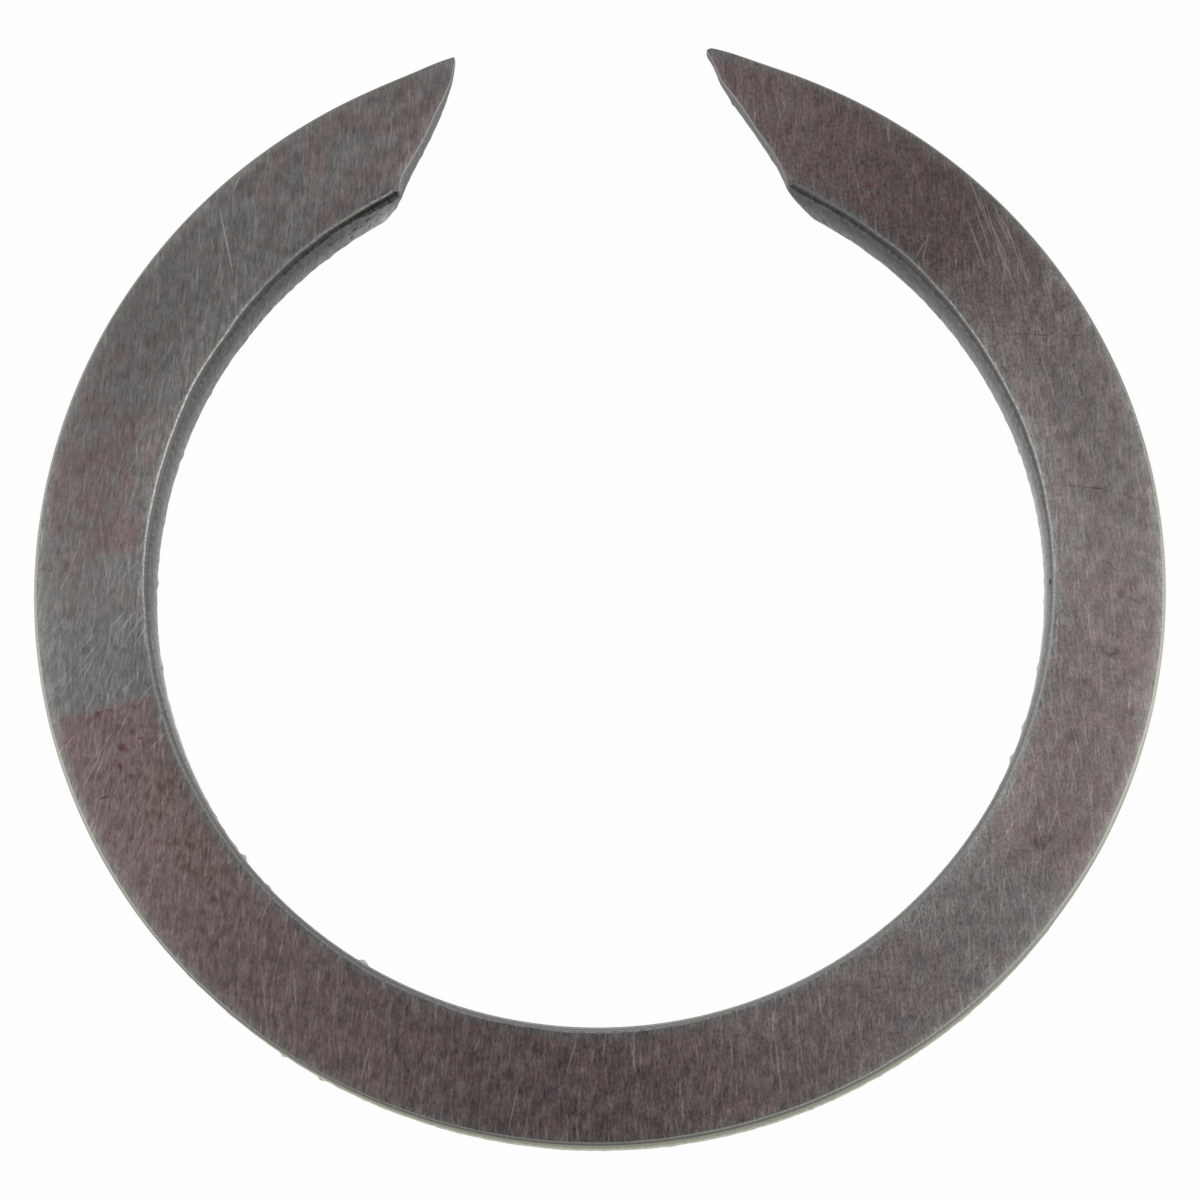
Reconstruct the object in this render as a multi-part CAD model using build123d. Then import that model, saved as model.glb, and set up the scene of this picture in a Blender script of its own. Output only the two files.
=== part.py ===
from build123d import *
import math
import os

# A snap ring for a grooved shaft: one open ring of flat spring steel, punched from strip.
# It lies flat on its back face. The origin is the centre of the bore in the plane of the
# back face, +Z points from the back face to the front face, and the gap opens towards +Y.

# Driving sizes, in millimetres
BORE_DIAMETER = 31.0
SECTION_WIDTH = 4.0
THICKNESS = 2.0
FRONT_EDGE_ROLL = 0.17
TIP_ROUND = 0.22
HEEL_ROUND = 1.8

# The ends. Each end face runs inwards from a tip on the rim: a short tip land, a long flat
# and a short heel land that meets the bore. The lands are measured along the radius, and
# the angles in degrees from the middle of the gap. The two ends differ a little.
TIP_LAND = 0.90
HEEL_LAND = 0.72
LEFT_END_ANGLES = {"tip": 14.0, "tip_knee": 15.1, "heel_knee": 24.0, "heel": 25.9}
RIGHT_END_ANGLES = {"tip": 12.8, "tip_knee": 15.0, "heel_knee": 24.0, "heel": 27.0}

# The punch sheared the upper part of each end face straight and broke the rest away at a
# slant, so the back edge of an end stands further from the gap's middle than the front one.
STRAIGHT_SHEAR = 0.5
END_UNDERCUT = 0.24

# How far the shapes that cut the gap run past the ring
CUT_MARGIN = 1.0

# Slack for finding the corners that lie on the rim or the bore
FIND_SLACK = 0.0001

BORE_RADIUS = BORE_DIAMETER / 2
RIM_RADIUS = BORE_RADIUS + SECTION_WIDTH


def gap_point(side, radius, angle):
    """A point on the left (side -1) or right (side +1) of the gap, from the gap's middle."""
    turn = math.radians(angle)
    return (side * radius * math.sin(turn), radius * math.cos(turn))


def end_outline(side, angles):
    """The end face seen from above, from beyond the rim down to inside the bore."""
    tip = gap_point(side, RIM_RADIUS, angles["tip"])
    tip_knee = gap_point(side, RIM_RADIUS - TIP_LAND, angles["tip_knee"])
    heel_knee = gap_point(side, BORE_RADIUS + HEEL_LAND, angles["heel_knee"])
    heel = gap_point(side, BORE_RADIUS, angles["heel"])
    return [
        beyond(tip_knee, tip),
        tip_knee,
        heel_knee,
        beyond(heel_knee, heel),
    ]


def beyond(start, end):
    """The point one cut margin past the end of the line from start to end."""
    run = math.dist(start, end)
    share = 1 + CUT_MARGIN / run
    return tuple(a + share * (b - a) for a, b in zip(start, end))


def gap_face(height):
    """The whole gap seen from above, as a flat face at the given height."""
    left = end_outline(-1, LEFT_END_ANGLES)
    right = end_outline(1, RIGHT_END_ANGLES)
    outline = Polyline(*left, *reversed(right), close=True)
    return Pos(0, 0, height) * make_face(outline)


def ring_face():
    """The open ring seen from above, with its tips and heels rounded."""
    face = Circle(RIM_RADIUS) - Circle(BORE_RADIUS) - gap_face(0)
    near_rim = face.vertices().filter_by(lambda v: on_circle(v, RIM_RADIUS) and v.Y > 0)
    face = fillet(near_rim, TIP_ROUND)
    near_bore = face.vertices().filter_by(lambda v: on_circle(v, BORE_RADIUS) and v.Y > 0)
    return fillet(near_bore, HEEL_ROUND)


def on_circle(vertex, radius):
    """Whether a vertex lies on a circle about the origin."""
    return math.isclose(math.hypot(vertex.X, vertex.Y), radius, abs_tol=FIND_SLACK)


def blank():
    """The open ring as it leaves the punch: rolled front edges, square back edges."""
    solid = extrude(ring_face(), THICKNESS)
    front_edges = solid.faces().sort_by(Axis.Z)[-1].outer_wire().edges()
    return fillet(front_edges, FRONT_EDGE_ROLL)


def end_slant():
    """The tapered block that takes the slant off the lower part of both end faces."""
    drop = THICKNESS - STRAIGHT_SHEAR
    lean = math.degrees(math.atan2(END_UNDERCUT, drop))
    return extrude(gap_face(drop), amount=drop + CUT_MARGIN, dir=(0, 0, -1), taper=-lean)


def snap_ring():
    """The finished ring, one solid."""
    return blank() - end_slant()


def export():
    """Write the one node."""
    os.makedirs("parts", exist_ok=True)
    ring = snap_ring()
    ring.label = "snap_ring"
    export_step(ring, "parts/snap_ring.step")
    box = ring.bounding_box()
    print("snap_ring", len(ring.solids()), "solid", round(ring.volume, 2), "cubic mm")
    print("size", [round(v, 3) for v in (box.size.X, box.size.Y, box.size.Z)])


export()
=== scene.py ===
# %% [markdown]
# # A snap ring of ground spring steel
#
# The object is one open ring, punched from steel strip and ground flat on both faces. It lies
# flat on a white table and is seen from nearly straight above, with its gap at the far side.
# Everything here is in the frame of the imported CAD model: the origin is the centre of the bore
# in the plane of the back face, +Z points to the front face and +Y to the gap. Blender works in
# metres. A ring is easier to think about in millimetres, so shapes are worked out in
# millimetres and scaled once, when they are put into a mesh.

import bpy
import numpy as np
from mathutils import Matrix, Vector


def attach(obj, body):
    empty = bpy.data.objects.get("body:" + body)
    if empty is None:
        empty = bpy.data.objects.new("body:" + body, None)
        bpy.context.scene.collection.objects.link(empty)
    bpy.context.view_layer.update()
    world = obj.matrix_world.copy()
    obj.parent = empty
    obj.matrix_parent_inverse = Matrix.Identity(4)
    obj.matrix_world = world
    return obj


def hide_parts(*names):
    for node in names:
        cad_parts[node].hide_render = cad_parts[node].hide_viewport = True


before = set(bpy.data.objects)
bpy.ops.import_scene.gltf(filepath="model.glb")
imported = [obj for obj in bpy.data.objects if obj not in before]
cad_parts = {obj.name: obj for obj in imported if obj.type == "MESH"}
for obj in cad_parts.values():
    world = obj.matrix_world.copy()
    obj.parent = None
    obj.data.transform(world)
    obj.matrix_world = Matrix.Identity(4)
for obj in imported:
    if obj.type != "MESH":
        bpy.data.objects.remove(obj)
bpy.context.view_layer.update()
MM = 0.001

# %% [markdown]
# ## The camera
#
# The photograph was fitted with a pinhole camera: a long lens, 135 mm away in the object's own
# scale, leaning 12 degrees from straight down, and turned a little to the right. Placing the
# camera first means that every later shape can be checked against the photograph at once.

# %% Camera
LENS_MM = 116.01
CAMERA_MM = Vector((1.982, -28.738, 132.13))
AIM_MM = Vector((0.0113, -0.395, 0.0))
UP = Vector((0.02094, 0.99978, 0.0))

camera_data = bpy.data.cameras.new("camera")
camera_data.lens = LENS_MM
camera_data.sensor_width = 36.0
camera_data.clip_start = 0.005
camera = bpy.data.objects.new("camera", camera_data)
bpy.context.scene.collection.objects.link(camera)
backwards = (CAMERA_MM - AIM_MM).normalized()
rightwards = UP.cross(backwards).normalized()
upwards = backwards.cross(rightwards)
turn = Matrix((rightwards, upwards, backwards)).transposed()
camera.matrix_world = Matrix.Translation(CAMERA_MM * MM) @ turn.to_4x4()
bpy.context.scene.camera = camera
print("camera is", round((CAMERA_MM - AIM_MM).length, 1), "mm from what it looks at")

# %% [markdown]
# ## The ring's outline
#
# A punched ring is one closed outline pushed through sheet steel. The front outline is round
# and clean, with a slanted cut at each end. The back outline is nearly the same, but the tear
# runs off a little at the ends, so the cut faces lean back under the front edge. Both outlines
# are held as rows of points that belong together, from the tip of an end to where its heel
# meets the bore. Each row is written as radius and angle, in millimetres and degrees from the
# middle of the gap.

# %% Named sizes and the two cut ends
RIM_RADIUS = 19.5
BORE_RADIUS = 15.5
THICKNESS = 2.0
# How far both tips stand outside the rim's circle, and over how many degrees that fades.
TIP_LIFT = 0.115
LEFT_LIFT_SPREAD = 2.7
RIGHT_LIFT_SPREAD = 3.0
RIM_POINTS = 1400
BORE_POINTS = 1200

# Columns: front radius, front angle, back radius, back angle.
LEFT_END = np.array([
    (19.64, 13.84, 19.58, 14.90), (19.30, 14.20, 19.30, 15.05), (18.94, 14.68, 19.05, 15.36),
    (18.66, 15.16, 18.72, 15.96), (18.18, 16.36, 18.30, 17.00), (17.81, 17.58, 17.87, 18.25),
    (17.23, 19.25, 17.39, 19.77), (16.80, 20.87, 16.94, 21.42), (16.33, 23.02, 16.50, 23.23),
    (16.12, 24.02, 16.14, 24.55), (15.88, 24.81, 15.90, 25.42), (15.68, 25.20, 15.73, 26.22),
    (15.56, 25.45, 15.56, 27.05), (15.50, 26.20, 15.50, 28.05)])
RIGHT_END = np.array([
    (19.60, 12.86, 19.58, 13.90), (19.45, 12.44, 19.44, 14.10), (19.32, 13.02, 19.25, 14.40),
    (18.93, 13.87, 18.92, 15.05), (18.44, 14.83, 18.58, 15.76), (18.11, 16.24, 18.26, 16.88),
    (17.85, 17.23, 17.95, 18.11), (17.43, 18.87, 17.50, 19.97), (16.98, 20.63, 17.05, 21.75),
    (16.64, 22.35, 16.72, 23.40), (16.30, 23.97, 16.40, 24.64), (15.98, 25.20, 16.02, 25.97),
    (15.72, 26.00, 15.77, 27.20), (15.55, 26.60, 15.57, 28.60), (15.50, 27.30, 15.47, 30.60)])

# Small errors of the two circles: angle from the gap's middle and millimetres.
RIM_ERROR = [(0, 0), (13, 0), (24, -0.035), (32, -0.035), (45, -0.02), (60, -0.005), (82, 0.01),
             (105, 0.025), (130, 0.015), (145, -0.01), (198, 0), (210, -0.02), (225, 0),
             (240, 0.02), (270, 0.02), (285, 0.015), (300, -0.005), (315, -0.03), (333, -0.03),
             (345, 0), (360, 0)]
BORE_ERROR = [(0, 0), (30, -0.015), (60, 0), (250, 0), (270, 0.03), (283, 0.055), (300, 0.01),
              (315, 0), (328, -0.025), (360, 0)]


def polar(radius, degrees):
    """Plan points: x is minus radius times sine, y is radius times cosine, so that angles
    start at the middle of the gap and grow counter-clockwise."""
    turn = np.radians(degrees)
    return np.column_stack([-radius * np.sin(turn), radius * np.cos(turn)])


def by_angle(pairs, angles):
    """Values at the given angles, by straight lines between pairs of angle and amount."""
    table = np.array(pairs)
    return np.interp(np.mod(angles, 360.0), table[:, 0], table[:, 1])


def rim_radius(degrees, left_tip, right_tip):
    """Rim radius: the plain radius plus a bell curve at each tip, because the ends of the
    ring stand a little outside its circle."""
    left = np.exp(-0.5 * ((degrees - left_tip) / LEFT_LIFT_SPREAD) ** 2)
    right = np.exp(-0.5 * ((degrees - right_tip) / RIGHT_LIFT_SPREAD) ** 2)
    return RIM_RADIUS + TIP_LIFT * (left + right) + by_angle(RIM_ERROR, degrees)


def knots(side):
    """The closed outline's rough points, counter-clockwise from the left tip: rim, right end
    from tip to heel, bore, left end from heel to tip. Side 0 is the front, side 1 the back."""
    left, right = LEFT_END[:, 2 * side:2 * side + 2], RIGHT_END[:, 2 * side:2 * side + 2]
    tips = left[0, 1], 360.0 - right[0, 1]
    around = np.linspace(tips[0], tips[1], RIM_POINTS)
    inside = np.linspace(360.0 - right[-1, 1], left[-1, 1], BORE_POINTS)
    rim = polar(rim_radius(around, *tips), around)
    bore = polar(BORE_RADIUS + by_angle(BORE_ERROR, inside), inside)
    right_end = polar(right[:, 0], 360.0 - right[:, 1])
    left_end = polar(left[::-1, 0], left[::-1, 1])
    return rim, right_end[1:-1], bore, left_end[1:-1]


front_parts = knots(0)
back_parts = knots(1)
print("points of the outline by part:", [len(part) for part in front_parts])

# %% [markdown]
# A line through measured points has corners at each of them. The real outline has none, apart
# from tips and heels that are tight curves. So the line is walked in steps of 0.02 mm, and each
# point becomes the mean of its neighbours within a reach that is chosen for the place: short
# on the arcs, longer at the tips and longest at the heels of the torn back edge. One running
# total of all points gives every mean at once.

# %% Soft outlines
STEP = 0.02
REACH = 0.05
TIP_REACH = 0.10
END_REACH = 0.30
FRONT_HEEL_REACH = 0.12
BACK_HEEL_REACH = 0.60
HEEL_INSET = 0.5
HEEL_SPREAD = 0.6
TIP_SPREAD = 0.3


def closed(parts):
    """The parts joined into one closed line, whose last point is its first again."""
    line = np.vstack(parts)
    return np.vstack([line, line[:1]])


front_line = closed(front_parts)
back_line = closed(back_parts)
lengths = np.hypot(*np.diff(front_line, axis=0).T)
travelled = np.concatenate([[0.0], np.cumsum(lengths)])
LOOP = travelled[-1]
walk = np.arange(int(LOOP / STEP)) * (LOOP / int(LOOP / STEP))
corner_at = np.cumsum([len(part) for part in front_parts])
right_tip_at = travelled[corner_at[0] - 1]
right_heel_at = travelled[corner_at[1]]
left_heel_at = travelled[corner_at[2] - 1]


def along(line, where):
    """Points of a closed line at the front outline's travelled length."""
    where = np.mod(where, LOOP)
    return np.column_stack([np.interp(where, travelled, line[:, axis]) for axis in (0, 1)])


def bell(where, centre, spread):
    """A bell curve of the travelled length around a place on the closed outline."""
    away = np.abs(np.mod(where - centre + LOOP / 2, LOOP) - LOOP / 2)
    return np.exp(-0.5 * (away / spread) ** 2)


def on_ends(where, soft=0.3):
    """One on the two cut ends and zero elsewhere, with a soft step of the given length."""
    right = np.clip((where - right_tip_at) / soft, 0, 1) * np.clip(
        (right_heel_at - where) / soft + 1, 0, 1)
    left = np.clip((where - left_heel_at) / soft + 1, 0, 1) * np.clip(
        (LOOP - where) / soft, 0, 1)
    return np.maximum(right, left)


def soften(line, heel_reach):
    """Each point becomes the mean of the closed line from its own reach before it to its own
    reach after it, read off one running total."""
    points = along(line, walk)
    reach = REACH + (END_REACH - REACH) * on_ends(walk)
    for heel in (right_heel_at - HEEL_INSET, left_heel_at + HEEL_INSET):
        reach = reach + (heel_reach - reach) * bell(walk, heel, HEEL_SPREAD)
    for tip in (0.0, right_tip_at):
        reach = reach + (TIP_REACH - reach) * bell(walk, tip, TIP_SPREAD)
    total = np.vstack([np.zeros(2), np.cumsum(np.vstack([points] * 3), axis=0)])
    marks = np.arange(len(total))
    middle = np.arange(len(points)) + len(points) + 0.5
    ends = [middle - reach / STEP, middle + reach / STEP]
    sums = [np.column_stack([np.interp(end, marks, total[:, axis]) for axis in (0, 1)])
            for end in ends]
    return (sums[1] - sums[0]) / (ends[1] - ends[0])[:, None]


front_soft = soften(front_line, FRONT_HEEL_REACH)
back_soft = soften(back_line, BACK_HEEL_REACH)
print("outline", round(LOOP, 2), "mm long, right tip at", round(right_tip_at, 2))

# %% [markdown]
# ## Stations around the ring
#
# The flat faces are woven between the rim and the inner path, station by station, and the
# walls run along both. So each station on the rim has a partner on the inner path. Stations
# crowd together at the tips, where both paths meet in one shared point.

# %% Stations
END_STATIONS = 100
BODY_STATIONS = 980
TIP_CROWDING = 1.5

left_heel_angle = LEFT_END[-1, 1]
right_heel_angle = 360.0 - RIGHT_END[-1, 1]
rim_angles = np.degrees(np.arctan2(-front_parts[0][:, 0], front_parts[0][:, 1])) % 360.0
rim_travelled = travelled[:len(rim_angles)]
rim_left = np.interp(left_heel_angle, rim_angles, rim_travelled)
rim_right = np.interp(right_heel_angle, rim_angles, rim_travelled)
crowd = (np.arange(END_STATIONS) / END_STATIONS) ** TIP_CROWDING
even = np.arange(BODY_STATIONS) / BODY_STATIONS


def stations(start, heel_one, heel_two, stop):
    """Travelled lengths from one tip to the other: crowded from the start to the first heel,
    even between the heels, and crowded again towards the stop."""
    first = start + (heel_one - start) * crowd
    middle = heel_one + (heel_two - heel_one) * even
    last = stop - (stop - heel_two) * crowd[::-1]
    return np.concatenate([first, middle, [heel_two], last[:-1], [stop]])


outer = stations(0.0, rim_left, rim_right, right_tip_at)
inner = stations(LOOP, left_heel_at, right_heel_at, right_tip_at)
COUNT = len(outer)
loop_at = np.concatenate([outer, inner[::-1][1:-1]])
AROUND = len(loop_at)
print(COUNT, "stations on each path,", AROUND, "around the loop")

# %% [markdown]
# ## The punched edge
#
# A punch rolls the front edge over, shears the next part smooth, and tears the rest, which
# leaves a small ragged burr on the back edge. So the wall is a profile carried along the
# outline: a quarter circle for the roll, a straight part, a part that blends from the front
# outline to the back one, and a small curve at the bottom. Seeded random bumps along the back
# edge are the burr. A profile along a path keeps the wall's rows tidy, which a bevel modifier
# on a cut solid would not.

# %% Roll-over, tear and burr along the outline
# Roll-over around the ring: angle from the gap's middle and radius in millimetres.
RIM_ROLL = [(0, 0.07), (60, 0.07), (90, 0.11), (120, 0.11), (130, 0.10), (150, 0.10), (165, 0.12),
            (180, 0.15), (200, 0.17), (225, 0.16), (250, 0.13), (275, 0.12), (310, 0.07),
            (360, 0.07)]
BORE_ROLL = [(0, 0.26), (30, 0.27), (60, 0.29), (90, 0.27), (120, 0.22), (180, 0.20), (240, 0.20),
             (270, 0.19), (300, 0.22), (315, 0.27), (330, 0.28), (360, 0.26)]
END_ROLL = 0.060
# How far the last points of the ends' tables lie beyond the corner at the heel.
HEEL_LAP = 0.22
TIP_ROLL = 0.030
SHEARED_DEPTH = 0.5
BACK_ROUND = 0.04
ROLL_ROWS = 8
# How softly the ends' roll begins and how wide the tips' roll is, in millimetres. The gain
# keeps the tips' roll full for a stretch around each tip.
END_SOFTNESS = 0.08
TIP_ROLL_SPREAD = 0.9
TIP_ROLL_GAIN = 1.6
# Waves of the roll-over: their share of it and the length of a wave's cell.
ROLL_WAVE = 0.10
ROLL_WAVE_CELL = 1.7
ROLL_RIPPLE = 0.05
ROLL_RIPPLE_CELL = 0.4

dice = np.random.default_rng(31)


def at_stations(dense):
    """Values of the softened line, read at the loop's stations."""
    where = np.append(walk, LOOP)
    if dense.ndim == 1:
        return np.interp(loop_at, where, np.append(dense, dense[0]))
    both = np.vstack([dense, dense[:1]])
    return np.column_stack([np.interp(loop_at, where, both[:, axis]) for axis in (0, 1)])


def outward(dense):
    """Unit normals of a counter-clockwise plan line: the direction of travel, turned right."""
    ahead = np.roll(dense, -3, axis=0) - np.roll(dense, 3, axis=0)
    ahead /= np.hypot(*ahead.T)[:, None]
    return np.column_stack([ahead[:, 1], -ahead[:, 0]])


def ripple(seed_dice, cell, where):
    """Smooth random heights around the loop: random values one cell apart, joined by an
    S-shaped ease, between minus one and one."""
    count = int(LOOP / cell)
    values = seed_dice.uniform(-1, 1, count)
    spot = np.mod(where, LOOP) / LOOP * count
    low = np.floor(spot).astype(int)
    ease = spot - low
    ease = ease * ease * (3 - 2 * ease)
    return values[low % count] * (1 - ease) + values[(low + 1) % count] * ease


plain_front = at_stations(front_soft)
station_angles = np.degrees(np.arctan2(-plain_front[:, 0], plain_front[:, 1])) % 360.0
is_rim = np.where(loop_at < right_tip_at, 1.0, 0.0)
first_half = loop_at < (right_heel_at + left_heel_at) / 2
is_end = on_ends(loop_at + np.where(first_half, HEEL_LAP, -HEEL_LAP), END_SOFTNESS) * (1 - is_rim)
roll = np.where(is_rim > 0.5, by_angle(RIM_ROLL, station_angles),
                by_angle(BORE_ROLL, station_angles))
roll = roll + (END_ROLL - roll) * is_end
for tip in (0.0, right_tip_at):
    tip_near = bell(loop_at, tip, TIP_ROLL_SPREAD)
    roll = roll + (TIP_ROLL - roll) * np.clip(tip_near * TIP_ROLL_GAIN, 0, 1)
roll = roll * (1 + ROLL_WAVE * ripple(dice, ROLL_WAVE_CELL, loop_at)
               + ROLL_RIPPLE * ripple(dice, ROLL_RIPPLE_CELL, loop_at))

# %% Burrs on the back edge
BURR_EVERY = 0.75
BURR_HEIGHT = 0.042
# Above one, it makes most burrs small.
BURR_UNEVEN = 2.5
BURR_WIDTHS = (0.05, 0.11)
EDGE_ROUGH = 0.007
EDGE_ROUGH_CELL = 0.16
burr_count = int(LOOP / BURR_EVERY)
places = (np.arange(burr_count) + dice.uniform(0.1, 0.9, burr_count)) * BURR_EVERY
heights = BURR_HEIGHT * dice.uniform(0, 1, burr_count) ** BURR_UNEVEN
widths = dice.uniform(*BURR_WIDTHS, burr_count)
burr = (heights * bell(loop_at[:, None], places, widths)).sum(axis=1)
burr += EDGE_ROUGH * (1 + ripple(dice, EDGE_ROUGH_CELL, loop_at))

# Larger burrs that stand out in the photograph, by radius, angle, height and width.
NAMED_BURRS = [
    (BORE_RADIUS, 126.2, 0.12, 0.09), (BORE_RADIUS, 131.3, 0.07, 0.12),
    (BORE_RADIUS, 139.0, 0.08, 0.12), (BORE_RADIUS, 147.2, 0.20, 0.16),
    (BORE_RADIUS, 260.0, 0.05, 0.08), (BORE_RADIUS, 252.0, 0.06, 0.10),
    (BORE_RADIUS, 247.6, 0.05, 0.08), (BORE_RADIUS, 236.5, 0.05, 0.08),
    (RIM_RADIUS, 145.0, 0.07, 0.06), (RIM_RADIUS, 149.5, 0.06, 0.07)]
for burr_radius, angle, height, width in NAMED_BURRS:
    same_side = (is_rim > 0.5) == (burr_radius == RIM_RADIUS)
    arc = np.radians(station_angles - angle) * burr_radius
    burr += same_side * height * np.exp(-0.5 * (arc / width) ** 2)
print("roll-over between", round(roll.min(), 3), "and", round(roll.max(), 3), "mm, burrs up to",
      round(burr.max(), 3), "mm")

# %% [markdown]
# Grinding and handling also take a little off both borders of the face, so it falls away by a
# few hundredths of a millimetre within its last millimetre. That slope is too small to see as a
# shape, but it turns the border towards the bright sides of the room.

# %% The worn borders and the wall's rows
BORDER_DROP = 0.030
BORDER_REACH = 0.95
# Where the tear starts and where its lower part starts, as depths, and how deep each fades in.
TEAR_START = 0.7
TEAR_FADE = 0.5
LOWER_START = 1.2
LOWER_FADE = 0.6
# The tear's three ripples: height and length of a cell.
TEAR_WIDE = 0.003
TEAR_WIDE_CELL = 0.9
TEAR_FINE = 0.005
TEAR_FINE_CELL = 0.25
TEAR_LOW = 0.006
TEAR_LOW_CELL = 0.35
# How far up the wall the burr reaches.
BURR_RISE = 0.22
# How much of the tear and the burr is missing at the tips, and how far around them.
TIP_CALM = 0.6
TIP_CALM_SPREAD = 0.3
# The wall's rows between the roll and the back edge, and the back edge's own rows.
WALL_SHARES = (0.02, 0.08, 0.17, 0.28, 0.40, 0.52, 0.63, 0.73, 0.82, 0.90, 0.96, 1.0)
BACK_ANGLES = (35, 65, 90)

partner = (AROUND - np.arange(AROUND)) % AROUND
band_width = np.hypot(*(plain_front - plain_front[partner]).T)
own_drop = BORDER_DROP * np.clip(band_width / (2 * BORDER_REACH), 0, 1) ** 2
front_plan, back_plan = at_stations(front_soft), at_stations(back_soft)
front_out, back_out = at_stations(outward(front_soft)), at_stations(outward(back_soft))
tear_wide = ripple(dice, TEAR_WIDE_CELL, loop_at)
tear_fine = ripple(dice, TEAR_FINE_CELL, loop_at)
tear_low = ripple(dice, TEAR_LOW_CELL, loop_at)


def wall_row(depth, inset):
    """One loop of points: the front and back outlines mixed by depth below the straight
    sheared part, moved in by the inset and out by the tear and the burr, at that depth."""
    mix = np.clip((depth - SHEARED_DEPTH) / (THICKNESS - SHEARED_DEPTH), 0, 1)[:, None]
    plan = front_plan * (1 - mix) + back_plan * mix
    out = front_out * (1 - mix) + back_out * mix
    out /= np.hypot(*out.T)[:, None]
    torn = np.clip((depth - TEAR_START) / TEAR_FADE, 0, 1)
    lower = np.clip((depth - LOWER_START) / LOWER_FADE, 0, 1)
    rough = torn * (TEAR_FINE * tear_fine * (1 - lower) + TEAR_LOW * tear_low * lower)
    rough += torn * TEAR_WIDE * tear_wide
    lip = burr * np.exp(-((THICKNESS - depth) / BURR_RISE) ** 2)
    calm = 1 - TIP_CALM * np.maximum(bell(loop_at, 0, TIP_CALM_SPREAD),
                                     bell(loop_at, right_tip_at, TIP_CALM_SPREAD))
    moved = plan + out * ((rough + lip) * calm - inset)[:, None]
    drop = own_drop * (1 - depth / THICKNESS)
    return np.column_stack([moved, THICKNESS - depth - drop])


flat = np.ones(AROUND)
rows = []
for angle in np.linspace(0, np.pi / 2, ROLL_ROWS + 1):
    rows.append(wall_row(roll * (1 - np.cos(angle)), roll * (1 - np.sin(angle))))
bottom = THICKNESS - BACK_ROUND
for share in WALL_SHARES:
    rows.append(wall_row(roll + (bottom - roll) * share, 0 * flat))
for angle in np.radians(BACK_ANGLES):
    rows.append(wall_row(bottom + BACK_ROUND * np.sin(angle) * flat,
                         BACK_ROUND * (1 - np.cos(angle)) * flat))
wall = np.array(rows)
print("wall grid:", wall.shape[0], "rows of", wall.shape[1])

# %% [markdown]
# ## Faces and mesh
#
# The faces are nearly flat, so few rows are enough in the middle. Narrow rows lie close to each
# border, where the front falls away and where smooth shading has to turn the corner. At the two
# tips the rows meet in one point, and the last cells are triangles.

# %% Weave the faces between the two paths
ACROSS = np.array([0, 0.01, 0.03, 0.06, 0.10, 0.15, 0.20, 0.26, 0.36, 0.5, 0.64, 0.74, 0.80,
                   0.85, 0.90, 0.94, 0.97, 0.99, 1.0])


def woven(row):
    """Points between the outer and the inner path of one loop: the outer point times one
    minus the share plus the inner point times the share, for every inner share of ACROSS."""
    outer_side = row[:COUNT]
    inner_side = row[(AROUND - np.arange(COUNT)) % AROUND]
    share = ACROSS[1:-1, None, None]
    return (outer_side * (1 - share) + inner_side * share)[:, 1:-1]


def worn_down(grid):
    """The front face's points, lowered near both borders: the drop at a border fades with the
    square of the distance that is left to the border's reach."""
    share = ACROSS[1:-1, None]
    width = band_width[1:COUNT - 1]
    drop = own_drop[1:COUNT - 1]
    near_rim = np.clip(1 - share * width / BORDER_REACH, 0, 1) ** 2
    near_bore = np.clip(1 - (1 - share) * width / BORDER_REACH, 0, 1) ** 2
    grid = grid.copy()
    grid[:, :, 2] = THICKNESS - drop * np.maximum(near_rim, near_bore)
    return grid


def face_index(row_start, grid_start):
    """Vertex numbers of a face: the loop's own vertices at both borders, new ones between,
    and the tip's one vertex at both ends of every row."""
    index = np.zeros((len(ACROSS), COUNT), dtype=int)
    index[0] = row_start + np.arange(COUNT)
    index[-1] = row_start + (AROUND - np.arange(COUNT)) % AROUND
    inside = np.arange((len(ACROSS) - 2) * (COUNT - 2)).reshape(len(ACROSS) - 2, COUNT - 2)
    index[1:-1, 1:-1] = grid_start + inside
    index[:, 0] = index[0, 0]
    index[:, -1] = index[0, -1]
    return index


def face_cells(index):
    """Four corners of each cell of a face, and three for the cells at the tips."""
    a, b = index[:-1, :-1], index[:-1, 1:]
    c, d = index[1:, 1:], index[1:, :-1]
    cells = np.stack([a, b, c, d], axis=-1)
    quads = cells[:, 1:-1].reshape(-1, 4)
    first = np.stack([a[:, 0], b[:, 0], c[:, 0]], axis=-1)
    last = np.stack([a[:, -1], b[:, -1], d[:, -1]], axis=-1)
    return quads, np.vstack([first, last])


front_grid = worn_down(woven(wall[0]))
back_grid = woven(wall[-1])
wall_points = wall.reshape(-1, 3)
points = np.vstack([wall_points, front_grid.reshape(-1, 3), back_grid.reshape(-1, 3)])
ROWS = len(wall)
front_start = len(wall_points)
back_start = front_start + front_grid.size // 3

numbers = np.arange(ROWS * AROUND).reshape(ROWS, AROUND)
beside = np.roll(numbers, -1, axis=1)
wall_quads = np.stack([numbers[:-1], numbers[1:], beside[1:], beside[:-1]], axis=-1)
wall_quads = wall_quads.reshape(-1, 4)
front_quads, front_tris = face_cells(face_index(0, front_start))
back_quads, back_tris = face_cells(face_index((ROWS - 1) * AROUND, back_start))
quads = np.vstack([wall_quads, front_quads, back_quads[:, ::-1]])
tris = np.vstack([front_tris, back_tris[:, ::-1]])
triangles = 2 * len(quads) + len(tris)
print(len(points), "points,", triangles, "triangles")

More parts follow.
